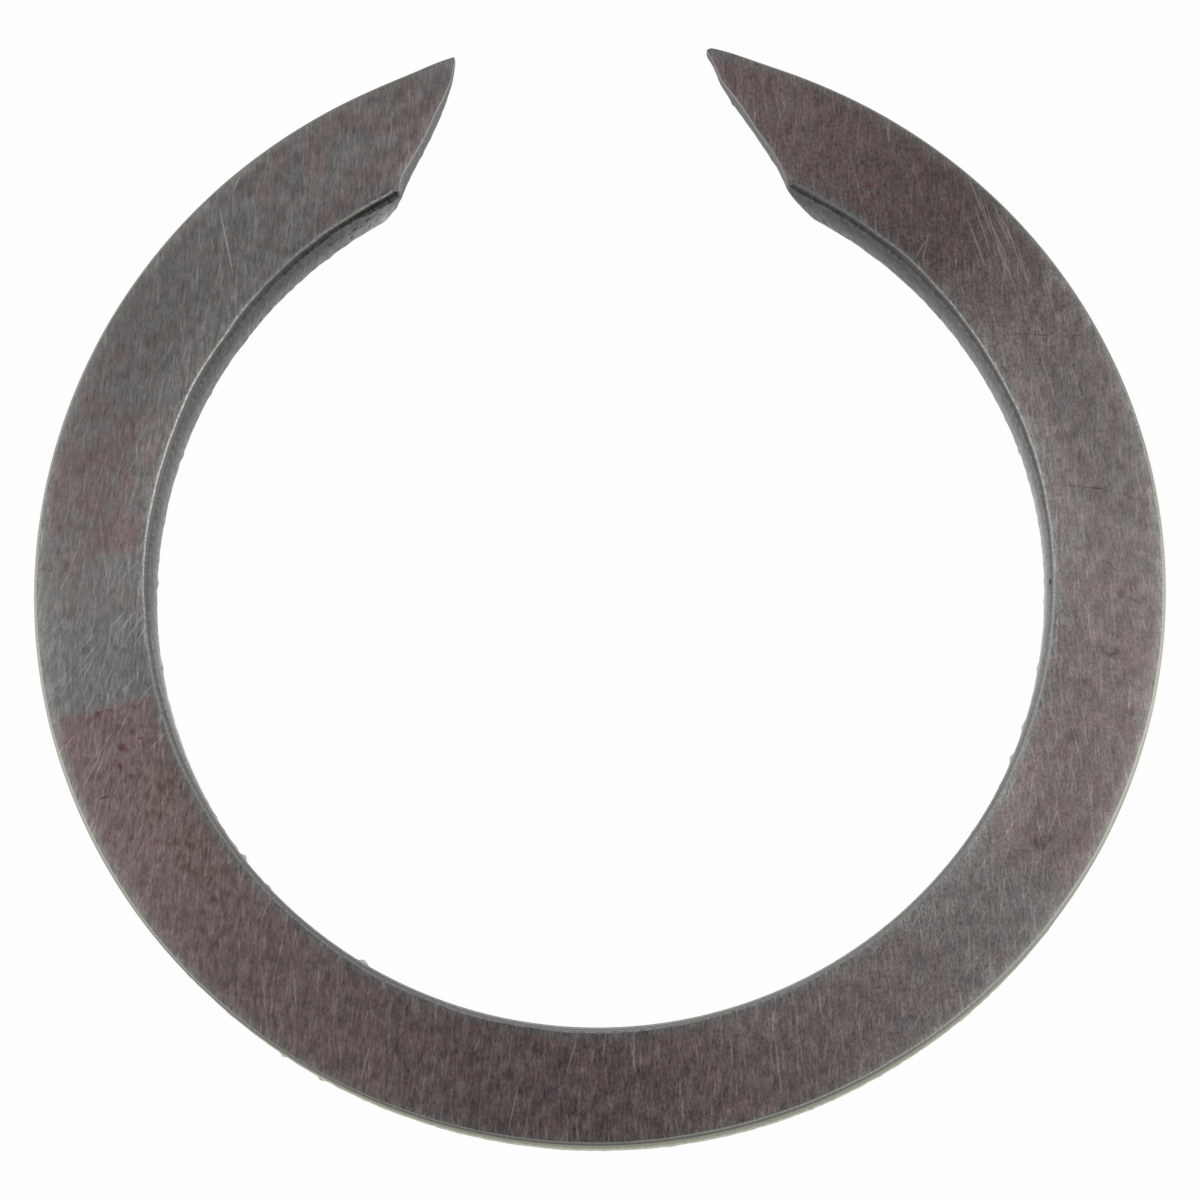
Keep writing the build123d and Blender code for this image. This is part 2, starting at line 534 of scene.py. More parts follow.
# %% Put the arrays into a mesh
steel = bpy.data.meshes.new("ring_of_steel")
steel.vertices.add(len(points))
steel.vertices.foreach_set("co", (points * MM).astype(np.float32).ravel())
corners = np.concatenate([quads.ravel(), tris.ravel()])
steel.loops.add(len(corners))
steel.loops.foreach_set("vertex_index", corners.astype(np.int32))
sizes = np.concatenate([np.full(len(quads), 4), np.full(len(tris), 3)])
steel.polygons.add(len(sizes))
steel.polygons.foreach_set("loop_start", (np.cumsum(sizes) - sizes).astype(np.int32))
steel.polygons.foreach_set("use_smooth", np.ones(len(sizes), dtype=bool))
steel.update(calc_edges=True)
steel.validate()
ring = bpy.data.objects.new("punched_ring", steel)
bpy.context.scene.collection.objects.link(ring)
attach(ring, "root")
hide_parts("snap_ring")
print("faces of the mesh:", len(steel.polygons))

# %% [markdown]
# ## What the surface knows about itself
#
# Stain on the real ring changes slowly around it, with one straight border where something
# covered the steel. So do the painted shade and highlights that the lamps alone don't give. A
# slow change like that is written once per angle and stored as a number on every point, and
# the shader only has to break it up. Two more numbers say how far a point of the front face is
# from the nearest border and whether a point is on a cut end. The walls get a UV map in
# millimetres, along the outline and down from the front face, because their marks follow the
# wall.

# %% Numbers on the points
# Pairs of angle and amount, in degrees from the middle of the gap, counter-clockwise.
AROUND_THE_RING = {
    # The brown-violet film.
    "stain": [(0, 0.9), (14, 0.62), (25, 0.40), (36, 0.27), (44, 0.13), (60, 0.12), (66, 0.26),
              (72, 0.52), (84, 0.62), (88, 0.25), (92, 0.04), (103.6, 0.04), (104.2, 1.05),
              (150, 1.00), (185, 0.92), (200, 0.70), (217, 0.50), (222, 0.26), (232, 0.28),
              (237, 0.70), (262, 0.60), (275, 0.42), (293, 0.44), (305, 0.66), (318, 0.98),
              (360, 0.95)],
    # How patchy the film is.
    "patches": [(0, 0.3), (12, 0.40), (60, 0.32), (84, 0.48), (95, 0.1), (130, 0.1), (150, 0.2),
                (215, 0.2), (300, 0.15), (360, 0.25)],
    # Painted shade: how dark the face is, by angle.
    "face_shade": [(0, 0.55), (14, 0.40), (22, 0.34), (30, 0.40), (45, 0.53), (60, 0.66), (75, 0.50),
                (90, 0.24), (104, 0.36), (120, 0.32), (135, 0.70), (150, 0.76), (165, 1.00),
                (180, 1.04), (195, 0.78), (210, 0.56), (225, 0.42), (240, 0.29), (255, 0.06),
                (270, 0.0), (285, 0.38), (300, 0.54), (314, 1.04), (328, 0.86), (338, 0.62),
                (360, 0.55)],
    # Small dark specks on the face.
    "freckles": [(0, 0.3), (20, 0.15), (60, 0.15), (90, 0.2), (103.6, 0.2), (104.2, 0.7),
                 (125, 0.9), (165, 0.6), (200, 0.4), (220, 0.2), (250, 0.35), (280, 0.2),
                 (300, 0.4), (318, 0.9), (335, 0.5), (360, 0.3)],
    # The brighter line along the face's borders.
    "shine": [(0, 0.12), (24, 0.12), (30, 0.42), (45, 0.40), (60, 0.25), (90, 0.30), (105, 0.25),
              (130, 0.08), (195, 0.04), (210, 0.16), (225, 0.26), (240, 0.28), (270, 0.28),
              (300, 0.30), (315, 0.35), (328, 0.40), (336, 0.12), (360, 0.12)],
    # Scratches that lean over.
    "lean": [(0, 0.0), (40, 0.1), (55, 0.8), (85, 1.4), (95, 2.2), (108, 2.2), (130, 1.1),
             (150, 0.3), (205, 0.3), (222, 1.5), (240, 1.2), (262, 0.2), (300, 0.2), (318, 0.0),
             (360, 0.0)],
    # Grain that is combed one way, the rest being grit.
    "combed": [(0, 0.85), (150, 0.80), (200, 0.70), (215, 0.50), (235, 0.50), (285, 0.70),
               (300, 0.60), (345, 0.60), (360, 0.85)],
    # The grain's contrast.
    "contrast": [(0, 1.0), (30, 0.88), (60, 0.88), (90, 0.85), (120, 1.05), (150, 1.1),
                 (180, 1.45), (205, 1.0), (220, 0.80), (240, 0.78), (270, 0.90), (285, 0.95),
                 (300, 1.20), (335, 1.05), (360, 1.0)],
    # Soft light and dark clouds on the face.
    "cloudy": [(0, 0.22), (30, 0.30), (60, 0.22), (75, 0.15), (120, 0.12), (150, 0.30),
               (165, 0.34), (195, 0.34), (215, 0.32), (240, 0.22), (300, 0.30), (330, 0.22),
               (360, 0.22)],
    # How much lighter the face is towards the bore.
    "bore_glow": [(0, 0.0), (22, 0.0), (32, -0.15), (45, 0.08), (60, 0.42), (75, 0.48),
                  (84, 0.25), (92, 0.18), (105, 0.0), (120, -0.10), (135, 0.12), (150, 0.0),
                  (180, 0.05), (195, 0.22), (210, 0.12), (225, 0.22), (240, 0.50), (256, 0.0),
                  (270, 0.24), (285, 0.55), (300, 0.30), (315, 0.0), (360, 0.0)],
    # Painted highlight on the rim's wall and roll, strongest at the ring's two sides.
    "rim_highlight": [(0, 0.50), (30, 0.50), (45, 0.65), (60, 0.85), (75, 0.85), (90, 0.85), (108, 0.70),
               (125, 0.45), (145, 0.08), (180, 0.12), (192, 0.26), (210, 0.30), (222, 0.40),
               (240, 0.70), (255, 1.0), (275, 1.0), (290, 0.70), (310, 0.50), (360, 0.50)],
    # Painted highlight: the bright line at the top of the bore's wall and the cut ends.
    "edge_highlight": [(0, 0.75), (30, 0.62), (45, 0.50), (55, 1.0), (65, 1.25), (78, 1.25),
                  (90, 0.85), (103, 0.48), (118, 0.38), (150, 0.33), (210, 0.33), (230, 0.42),
                  (245, 0.60), (258, 0.65), (270, 0.85), (285, 1.0), (300, 0.85), (315, 0.50),
                  (328, 0.32), (336, 0.30), (345, 0.6), (360, 0.75)],
    # Painted light and shade: the brightness of the bore's rolled edge, by angle.
    "roll_light_and_shade": [(0, 0.5), (30, 0.42), (45, 0.42), (60, 0.50), (75, 0.70), (90, 0.68),
                  (105, 0.95), (120, 1.40), (150, 1.45), (180, 2.0), (210, 1.95), (240, 1.65),
                  (255, 1.5), (270, 0.95), (285, 0.62), (300, 0.52), (315, 0.45), (330, 0.40),
                  (360, 0.5)],
    # Painted shade: a dark band right under the bore's rolled edge.
    "shade_under_roll": [(0, 0.92), (30, 0.92), (32.5, 0.70), (45, 0.45), (55, 0.15), (70, 0.0),
                (260, 0.0), (275, 0.25), (315, 0.30), (326, 0.40), (331, 0.48), (345, 0.50),
                (350, 0.92), (360, 0.92)],
    # Painted shade on the bore's wall, by angle, which also sets where small pits show.
    "bore_shade": [(0, 0.45), (28, 0.45), (31, 0.70), (36, 0.88), (45, 0.88), (60, 0.79), (75, 0.63),
              (90, 0.54), (105, 0.10), (120, 0.08), (240, 0.08), (258, 0.05), (270, 0.0),
              (285, 0.36), (300, 0.64), (315, 0.88), (326, 0.92), (340, 0.80), (350, 0.45),
              (360, 0.45)],
}
# Within this many degrees of the gap's middle a cut end can be the nearest border.
NEAR_GAP = 35
# Distances from the border are kept up to this many millimetres.
BORDER_FAR = 2
END_SOFT_STEP = 0.2
point_angles = np.degrees(np.arctan2(-points[:, 0], points[:, 1])) % 360.0


def store(name, values):
    """One number for each point of the mesh."""
    layer = steel.attributes.new(name, "FLOAT", "POINT")
    layer.data.foreach_set("value", np.asarray(values, dtype=np.float32))


def on_walls(loop_values):
    """Values of the loop's stations for every row of the wall, and zero on the faces."""
    return np.concatenate([np.tile(loop_values, ROWS), np.zeros(len(points) - ROWS * AROUND)])


for name, pairs in AROUND_THE_RING.items():
    store(name, by_angle(pairs, point_angles))
store("cut_end", on_walls(is_end))

# Distance of the face's points from the nearest border: the ends matter only near the gap.
face_points = points[front_start:back_start, :2]
reach_in = np.hypot(*face_points.T)
to_border = np.minimum(RIM_RADIUS - reach_in, reach_in - BORE_RADIUS)
near_gap = (point_angles[front_start:back_start] + NEAR_GAP) % 360 < 2 * NEAR_GAP
end_line = plain_front[on_ends(loop_at, END_SOFT_STEP) > 0]
apart = face_points[near_gap][:, None] - end_line[None]
to_end = np.hypot(apart[..., 0], apart[..., 1]).min(axis=1)
to_border[near_gap] = np.minimum(to_border[near_gap], to_end)
border = np.zeros(len(points))
border[front_start:back_start] = np.clip(to_border, 0, BORDER_FAR)
store("to_border", border)

# %% The walls' map and the materials of the faces
ends_of_loop = np.append(loop_at, LOOP)
down = (THICKNESS - wall[:, :, 2] - own_drop) / (1 - own_drop / THICKNESS)
column = np.arange(AROUND)
left_u, right_u = ends_of_loop[column], ends_of_loop[column + 1]
upper, lower = down[:-1], down[1:]
wall_uv = np.stack([
    np.stack([left_u + 0 * upper, upper], axis=-1), np.stack([left_u + 0 * lower, lower], axis=-1),
    np.stack([right_u + 0 * lower, np.roll(lower, -1, axis=1)], axis=-1),
    np.stack([right_u + 0 * upper, np.roll(upper, -1, axis=1)], axis=-1)], axis=2)
face_uv = points[corners[4 * len(wall_quads):], :2]
both_uv = np.concatenate([wall_uv.ravel(), face_uv.ravel()]).astype(np.float32)
uv = steel.uv_layers.new(name="along_and_down")
uv.uv.foreach_set("vector", both_uv)

# Stations on the bore, by their angle.
bore_side = np.where((is_rim < 0.5) & (is_end < 0.5))[0]
by_turn = bore_side[np.argsort(station_angles[bore_side])]


def length_at(angle):
    """Travelled length of the outline where its bore passes an angle."""
    return float(np.interp(angle, station_angles[by_turn], loop_at[by_turn]))


# The material of each face: 0 for the bore and the ends, 1 for the ground faces, 2 for the rim.
kinds = np.ones(len(sizes), dtype=np.int32)
kinds[:len(wall_quads)] = np.where(np.tile(is_rim, ROWS - 1) > 0.5, 2, 0)
print("stored", [layer.name for layer in steel.attributes if not layer.name.startswith(".")])

# %% [markdown]
# ## Shader building blocks
#
# Ground steel is a crowd of fine scratches that run nearly one way. Five effects make up every
# surface of the ring: streaks, which are noise stretched along one direction; scratches, which
# are one thin straight mark in each cell of a stretched cell pattern; dots, which are one round
# spot in each cell; strokes, which are single scratches from one point to another; and blots,
# which are single soft-edged spots. Each one is a node group with named inputs, built once.

# %% Node helpers
class Wire:
    """A number, vector, colour or shader on its way from one node to the next."""

    def __init__(self, socket):
        self.socket = socket

    def beside(self, name):
        """Another output of the node that this wire comes from."""
        return Wire(self.socket.node.outputs[name])


def work_in(tree):
    """Makes a node tree the board that new nodes go on."""
    global board
    board = tree


def plug(value, socket):
    """Links a wire to an input, or writes a plain value into it."""
    if isinstance(value, Wire):
        board.links.new(value.socket, socket)
    else:
        socket.default_value = value


def node(kind, inputs=None, out=0, **settings):
    """One output of a new node with its settings and inputs."""
    made = board.nodes.new("ShaderNode" + kind)
    for name, value in settings.items():
        setattr(made, name, value)
    for name, value in (inputs or {}).items():
        plug(value, made.inputs[name])
    return Wire(made.outputs[out])


def number(operation, *values, clamp=False):
    """One Math node on plain numbers or wires."""
    return node("Math", dict(enumerate(values)), operation=operation, use_clamp=clamp)


def sign(operation, swapped=False):
    """What a Python sign does between wires: one Math node, with its values swapped or not."""
    def act(wire, other):
        return number(operation, *((other, wire) if swapped else (wire, other)))
    return act


Wire.__add__, Wire.__radd__ = sign("ADD"), sign("ADD", True)
Wire.__sub__, Wire.__rsub__ = sign("SUBTRACT"), sign("SUBTRACT", True)
Wire.__mul__, Wire.__rmul__ = sign("MULTIPLY"), sign("MULTIPLY", True)
Wire.__truediv__ = sign("DIVIDE")


def vector(operation, *values):
    """One Vector Math node, which gives a number for a length or a dot product."""
    out = "Value" if operation in ("LENGTH", "DOT_PRODUCT") else "Vector"
    return node("VectorMath", dict(enumerate(values)), out, operation=operation)


def scaled(whole, size):
    """A vector or a colour times a number."""
    return node("VectorMath", {0: whole, "Scale": size}, operation="SCALE")


def join(x, y, z):
    """Three numbers as one vector."""
    return node("CombineXYZ", {0: x, 1: y, 2: z})


def split(kind, whole):
    """The three numbers of an XYZ vector or a Color."""
    first = node("Separate" + kind, {0: whole})
    return [first.beside(place) for place in range(3)]


def ease(value, low, high, start=0.0, stop=1.0):
    """A smooth step: start below low, stop above high."""
    return node("MapRange", {"Value": value, "From Min": low, "From Max": high, "To Min": start,
                             "To Max": stop}, "Result", interpolation_type="SMOOTHSTEP")


def blend(amount, first, second, how="MIX"):
    """Two colours mixed by an amount."""
    first, second = [(*colour, 1.0) if isinstance(colour, tuple) else colour
                     for colour in (first, second)]
    return node("Mix", {0: amount, 6: first, 7: second}, 2, data_type="RGBA", blend_type=how,
                clamp_factor=True)


def between(amount, first, second):
    """Two numbers mixed by an amount."""
    return node("Mix", {0: amount, 2: first, 3: second})


def new_group(name, outlet, **inputs):
    """An empty node group with one output, and its inputs as wires. An input whose default is
    a tuple is a vector, any other a number. New nodes go into the group from here on."""
    tree = bpy.data.node_groups.new(name, "ShaderNodeTree")
    work_in(tree)
    for label, value in inputs.items():
        kind = "NodeSocketVector" if isinstance(value, tuple) else "NodeSocketFloat"
        tree.interface.new_socket(label, in_out="INPUT", socket_type=kind).default_value = value
    tree.interface.new_socket(outlet, in_out="OUTPUT", socket_type="NodeSocketFloat")
    given = tree.nodes.new("NodeGroupInput").outputs
    return tree, {label: Wire(given[label]) for label in inputs}


def give_out(value):
    """Ends a node group with the value of its output."""
    plug(value, board.nodes.new("NodeGroupOutput").inputs[0])


def use(group, **inputs):
    """The output of a node group placed on the board with its own values."""
    return node("Group", inputs, node_tree=group)


def stretched(given):
    """A group's position, turned, stretched across and along, and moved to its seed."""
    turned = node("VectorRotate", {"Vector": given["Position"], "Angle": given["Turn"]},
                  rotation_type="Z_AXIS")
    pulled = vector("MULTIPLY", turned, join(given["Across"], given["Along"], 1.0))
    return vector("ADD", pulled, join(given["Seed"], given["Seed"], 0.0))


# %% Streaks: noise stretched along one direction
streaks, given = new_group("streaks", "Value", Position=(0, 0, 0), Turn=0.0, Across=10.0,
                           Along=1.0, Seed=0.0, Low=0.3, High=0.7)
cloud = node("TexNoise", {"Vector": stretched(given), "Scale": 1.0, "Detail": 2.0,
                          "Roughness": 0.6}, noise_dimensions="2D")
give_out(ease(cloud, given["Low"], given["High"]))


def streaked(place, turn, across, along_it, seed, low=0.25, high=0.75):
    """Streaks on a place: turn, fineness across and along, seed, and the noise's range."""
    return use(streaks, Position=place, Turn=turn, Across=across, Along=along_it, Seed=seed,
               Low=low, High=high)


# %% Scratches and dots: one mark in each cell of a cell pattern
# A scratch fades out between these shares of its cell, and a dot between those of its radius.
SCRATCH_FADE = (0.5, 0.1)
DOT_FADE = (1.0, 0.2)


def cell_pattern(place):
    """The offset from a cell's own point to the place, and the cell's random numbers."""
    centre = node("TexVoronoi", {"Vector": place, "Scale": 1.0}, "Position",
                  voronoi_dimensions="2D")
    return vector("SUBTRACT", place, centre), split("Color", centre.beside("Color"))


scratches, given = new_group("scratches", "Mask", Position=(0, 0, 0), Turn=0.0, Across=2.0,
                             Along=0.3, Seed=0.0, Width=0.03, Fan=0.3)
offset, luck = cell_pattern(stretched(given))
sideways, lengthways = split("XYZ", offset)[:2]
lean = (luck[0] - 0.5) * given["Fan"] * (lengthways / given["Along"])
aside = number("ABSOLUTE", sideways / given["Across"] - lean)
fade = ease(number("ABSOLUTE", lengthways), *SCRATCH_FADE)
give_out(ease(aside, given["Width"], 0.0) * (fade * (luck[1] * luck[1])))

dots, given = new_group("dots", "Mask", Position=(0, 0, 0), Density=3.0, Seed=0.0, Radius=0.4)
offset, luck = cell_pattern(vector("ADD", scaled(given["Position"], given["Density"]),
                                   join(given["Seed"], given["Seed"], 0.0)))
away = vector("LENGTH", offset) / ((luck[0] + 0.5) * given["Radius"])
give_out(ease(away, *DOT_FADE) * (luck[1] * luck[1]))

# %% Strokes: one scratch from a point to another, thin towards its ends
THIN_END = 0.15

strokes, given = new_group("stroke", "Mask", Position=(0, 0, 0), From=(0, 0, 0), To=(0, 1, 0),
                           Width=0.04)
arm = vector("SUBTRACT", given["Position"], given["From"])
whole = vector("SUBTRACT", given["To"], given["From"])
reached = number("DIVIDE", vector("DOT_PRODUCT", arm, whole),
                 vector("DOT_PRODUCT", whole, whole), clamp=True)
away = vector("LENGTH", vector("SUBTRACT", arm, scaled(whole, reached)))
taper = reached * (1.0 - reached) * 4.0
give_out(ease(away, given["Width"] * (taper + THIN_END), 0.0))

# %% Blots: a soft-edged spot
BLOT_INSIDE = 0.2
BLOT_OUTSIDE = 1.35

blots, given = new_group("blot", "Mask", Position=(0, 0, 0), Centre=(0, 0, 0), Radius=0.2)
away = vector("LENGTH", vector("SUBTRACT", given["Position"], given["Centre"]))
give_out(ease(away, given["Radius"] * BLOT_OUTSIDE, given["Radius"] * BLOT_INSIDE))
print("node groups:", [group.name for group in bpy.data.node_groups])

# %% [markdown]
# ## The ground face
#
# The face was ground to and fro across the ring, so its scratches run nearly one way over the
# whole ring, with a few that fan out or lean over. A thin film of brown-violet stain lies over
# the middle of the band and is rubbed off near both borders. Colour carries the film, the
# specks and the scratches. The roughness follows the grain and the scratches, and a shallow
# bump of the grain breaks up the light. A painted picture would do too, but noise and single
# marks stay sharp at any distance. Marks that catch the eye are placed one by one.

# %% Marks that stand out on the face
# Spots: x, y and radius in millimetres.
RED_SPOTS = [(-17.27, -4.41, 0.12), (-16.41, -5.58, 0.17), (-16.47, -6.23, 0.15),
             (-15.77, -5.26, 0.10), (-16.3, -6.69, 0.07), (9.83, 13.85, 0.15)]
FAINT_SPOTS = [(-16.58, -4.88, 0.14), (10.1, 13.47, 0.14), (9.56, 13.08, 0.14),
               (10.69, 14.19, 0.14), (8.24, 15.05, 0.17), (5.73, 17.98, 0.14), (6.0, 17.58, 0.17),
               (12.13, 11.51, 0.17), (13.45, 9.8, 0.21), (12.85, 10.11, 0.17),
               (-6.16, 16.25, 0.10), (-12.03, -12.61, 0.21), (18.25, -0.66, 0.17),
               (15.99, -6.12, 0.14), (17.98, -1.03, 0.14)]
DARK_SPOTS = [(16.57, -4.07, 0.21), (17.61, -3.1, 0.21), (14.73, -9.6, 0.31),
              (15.14, -9.47, 0.17), (18.06, -5.2, 0.17), (16.05, -5.95, 0.28), (7.02, 16.0, 0.21),
              (8.0, 14.23, 0.14), (11.91, 11.15, 0.14), (10.08, 14.82, 0.14)]
RUST_SPOTS = [(-14.21, -9.72, 0.17), (-14.05, -9.02, 0.17), (-15.1, -7.91, 0.17),
              (-12.88, -10.72, 0.21), (-13.83, -10.05, 0.14), (-15.03, -6.99, 0.21),
              (-13.32, -10.85, 0.14), (-16.07, -5.06, 0.12), (-16.06, -6.57, 0.12),
              (-14.83, -6.79, 0.16), (-15.58, -7.26, 0.14), (-15.07, -7.84, 0.14),
              (-15.44, -8.33, 0.14), (-16.12, -8.69, 0.14), (-14.58, -8.9, 0.12)]
OLIVE_PATCHES = [(-14.93, -6.86, 0.8), (-15.44, -7.6, 0.7), (-14.3, -8.9, 0.8),
                 (-13.6, -9.9, 0.6)]
# The red rim of the stain, other red lines and scratches: x and y of both ends.
RED_LINES = [(-17.99, -4.95, -17.24, -4.37), (-17.24, -4.37, -15.83, -4.09),
             (18.21, -0.62, 18.36, -1.19), (17.04, -2.98, 17.78, -3.21),
             (16.32, -1.46, 16.58, -2.59), (-8.45, 13.45, -7.07, 14.10),
             (8.14, 16.45, 8.22, 16.05), (7.95, 15.75, 7.82, 15.40), (8.75, 14.95, 8.86, 14.60),
             (5.90, 17.40, 6.15, 16.90)]
BOLD_SCRATCHES = [(-13.08, 13.66, -12.6, 11.22), (-12.33, 14.9, -12.59, 14.25)]
BRIGHT_SCRATCHES = [(13.65, 13.48, 14.11, 11.73), (14.1, 13.16, 14.49, 12.18),
                    (13.82, 13.32, 14.55, 10.22), (14.37, 12.7, 14.89, 11.41),
                    (14.16, 12.78, 14.75, 11.41), (14.18, 11.58, 14.53, 10.6),
                    (11.33, 11.13, 11.76, 11.83), (13.3, 14.2, 14.0, 12.0),
                    (13.95, 12.6, 14.6, 10.9), (14.6, 12.1, 15.2, 10.2), (13.5, 13.0, 14.0, 11.2),
                    (14.9, 11.6, 15.3, 9.9), (13.2, 12.6, 13.9, 10.4),
                    (15.71, 10.83, 16.26, 8.49), (14.24, 11.71, 14.85, 9.69),
                    (15.5, 7.75, 16.05, 5.68), (6.98, 17.19, 6.89, 16.52),
                    (-11.38, -10.89, -11.69, -11.7), (-4.3, -15.76, -4.48, -16.2),
                    (-1.04, -15.84, -1.42, -17.02), (-3.04, -17.33, -3.41, -18.93),
                    (5.58, -15.75, 5.79, -18.2), (4.14, -15.96, 4.15, -17.06),
                    (11.84, 12.07, 11.59, 10.98), (16.03, -6.29, 15.74, -8.18),
                    (-10.61, -13.19, -10.48, -14.71), (-16.62, -2.48, -17.16, -3.69),
                    (-15.88, -3.02, -16.39, -3.56), (-17.02, -1.81, -18.03, -3.15),
                    (-18.16, -2.75, -19.1, -3.82)]
DARK_SCRATCHES = [(13.99, 8.33, 17.61, 8.16), (15.83, 2.88, 17.62, 2.64),
                  (17.62, 2.64, 19.21, 2.12), (17.47, 0.03, 17.98, -0.24),
                  (17.51, -0.92, 18.72, -1.45), (15.88, 10.86, 14.33, 11.27),
                  (-19.42, 0.78, -18.07, 0.6)]
GOUGES = [(-17.2, -7.36, -16.86, -7.24), (17.1, 2.72, 17.5, 2.66)]


def strongest(masks):
    """The largest of several masks. They are made one by one, because the renderer can hold
    only so many numbers at a time."""
    result = 0.0
    for mask in masks:
        result = number("MAXIMUM", result, mask)
    return result


def all_blots(place, spots):
    """One mask for a list of spots."""
    return strongest(use(blots, Position=place, Centre=(x, y, 0), Radius=radius)
                     for x, y, radius in spots)


def all_strokes(place, lines, width):
    """One mask for a list of lines."""
    return strongest(use(strokes, Position=place, From=(x0, y0, 0), To=(x1, y1, 0), Width=width)
                     for x0, y0, x1, y1 in lines)


def plan_position():
    """Object coordinates in millimetres, laid flat."""
    return vector("MULTIPLY", node("TexCoord", out="Object"), (1 / MM, 1 / MM, 0.0))


def carried(name):
    """A number that the mesh carries on its points."""
    return node("Attribute", out="Fac", attribute_name=name)


def grey(value):
    """A number as a grey colour."""
    return join(value, value, value)


def new_metal(name, grazing=(1.0, 1.0, 1.0)):
    """A metal material and its shader, with the given colour at grazing angles."""
    material = bpy.data.materials.new(name)
    material.use_nodes = True
    work_in(material.node_tree)
    shader = board.nodes["Principled BSDF"]
    shader.inputs["Metallic"].default_value = 1.0
    shader.inputs["Specular Tint"].default_value = (*grazing, 1.0)
    return material, shader


# %% Places and grain of the face
FAN = 0.004
WOBBLE_SCALE = 3.2
WOBBLE = (0.30, 0.30, 0.0)
# Each layer: weight, turn, stretch across and along, seed.
GRAIN_LAYERS = [(0.30, 0.02, 9.5, 1.4, 3.1), (0.24, -0.10, 16.0, 3.0, 17.7),
                (0.20, 0.20, 12.0, 2.2, 41.3), (0.26, 0.0, 3.6, 2.4, 52.4)]
# Other streaks: turn, stretch across and along, seed.
GRIT = (0.1, 13.0, 8.0, 8.8)

face, metal = new_metal("ground_face")
flat_place = plan_position()
east, north = split("XYZ", flat_place)[:2]
fanned = join(east * (1.0 + north * FAN), north, 0.0)
wobble = node("TexNoise", {"Vector": flat_place, "Scale": WOBBLE_SCALE, "Detail": 2.0}, "Color",
              noise_dimensions="2D")
wobble = vector("MULTIPLY", vector("SUBTRACT", wobble, (0.5, 0.5, 0.5)), WOBBLE)
loose_place = vector("ADD", flat_place, wobble)

combed = 0.0
for weight, *layer in GRAIN_LAYERS:
    combed = combed + streaked(fanned, *layer) * weight
grit = streaked(flat_place, *GRIT)
comb_share = carried("combed")
grain = combed * comb_share + grit * (1.0 - comb_share)

# %% The stain film and the freckles
# What is left of the film at a border, and how far from it the film starts and is whole.
RUBBED_FILM = 0.12
FILM_FROM_RIM = (0.05, 0.50)
FILM_FROM_BORE = (0.24, 0.60)
MIST_SHARE = 0.34
# Streaks as above, two of them with the noise's range.
FILM_CLOUD = (0.0, 1.3, 0.8, 71.0)
MIST = (0.02, 7.0, 4.5, 29.0, 0.32, 0.68)
SPECKS = (0.0, 2.9, 2.5, 23.0, 0.48, 0.75)
SPECK_SHARE = 0.75
POCK_SHARE = 0.55

radius = vector("LENGTH", loose_place)
from_rim = RIM_RADIUS - radius
from_bore = radius - BORE_RADIUS
middle = ease(from_rim, *FILM_FROM_RIM, RUBBED_FILM, 1.0) * ease(
    from_bore, *FILM_FROM_BORE, RUBBED_FILM, 1.0)

cloud = streaked(loose_place, *FILM_CLOUD)
film = (cloud - 0.5) * carried("patches")
film = number("ADD", film * 2.0, carried("stain"), clamp=True)
mist = streaked(fanned, *MIST)
film = film * (1.0 - MIST_SHARE + mist * MIST_SHARE)
film = film * middle

speck = streaked(flat_place, *SPECKS)
pocks = use(dots, Position=loose_place, Density=2.4, Seed=5.0, Radius=0.32)
speck = number("MAXIMUM", speck * SPECK_SHARE, pocks * POCK_SHARE)
speck = speck * carried("freckles") * middle

# %% Scratches
# Each set: turn, cells per millimetre across and along, seed, width, spread of directions.
SCRATCH_SETS = [(0.02, 2.6, 0.55, 5.0, 0.046, 0.08), (-0.09, 2.8, 0.80, 31.0, 0.040, 0.10),
                (0.11, 2.8, 0.70, 57.0, 0.040, 0.10), (0.04, 6.0, 1.60, 83.0, 0.026, 0.14),
                (-0.14, 5.0, 1.50, 12.0, 0.024, 0.18), (-0.13, 1.3, 0.24, 71.0, 0.040, 0.10),
                (0.17, 1.3, 0.22, 38.0, 0.040, 0.10)]
LEANING_SETS = [(0.34, 2.6, 0.60, 44.0, 0.032, 0.30), (0.60, 2.4, 0.70, 61.0, 0.028, 0.30)]
BOLD_WIDTH = 0.048
BOLD_GAIN = 1.7
BRIGHT_WIDTH = 0.032
GOUGE_WIDTH = 0.055
DARK_WIDTH = 0.038
DARK_SHARE = 0.5


def all_scratches(sets):
    """The sum of several sets of scratches."""
    total = 0.0
    for turn, across, along_it, seed, width, fan in sets:
        total = total + use(scratches, Position=fanned, Turn=turn, Across=across,
                            Along=along_it, Seed=seed, Width=width, Fan=fan)
    return total


scratch = all_scratches(SCRATCH_SETS) + all_scratches(LEANING_SETS) * carried("lean")
bold = all_strokes(flat_place, BOLD_SCRATCHES, BOLD_WIDTH) * BOLD_GAIN
bright = number("MAXIMUM", bold, all_strokes(flat_place, BRIGHT_SCRATCHES, BRIGHT_WIDTH))
gouge = number("MAXIMUM", all_strokes(flat_place, GOUGES, GOUGE_WIDTH),
               all_strokes(loose_place, DARK_SCRATCHES, DARK_WIDTH) * DARK_SHARE)

# %% The face material
CLEAN_STEEL = (0.238, 0.234, 0.2245)
STAIN_TINT = (1.08, 0.79, 0.815)
RED_STAIN = (0.120, 0.030, 0.042)
DARK_STAIN = (0.060, 0.042, 0.045)
RUST_STAIN = (0.095, 0.065, 0.048)
OLIVE_TINT = (0.82, 0.84, 0.70)
BRIGHT_STEEL = (0.40, 0.395, 0.375)
SCRATCH_GAIN = 1.9
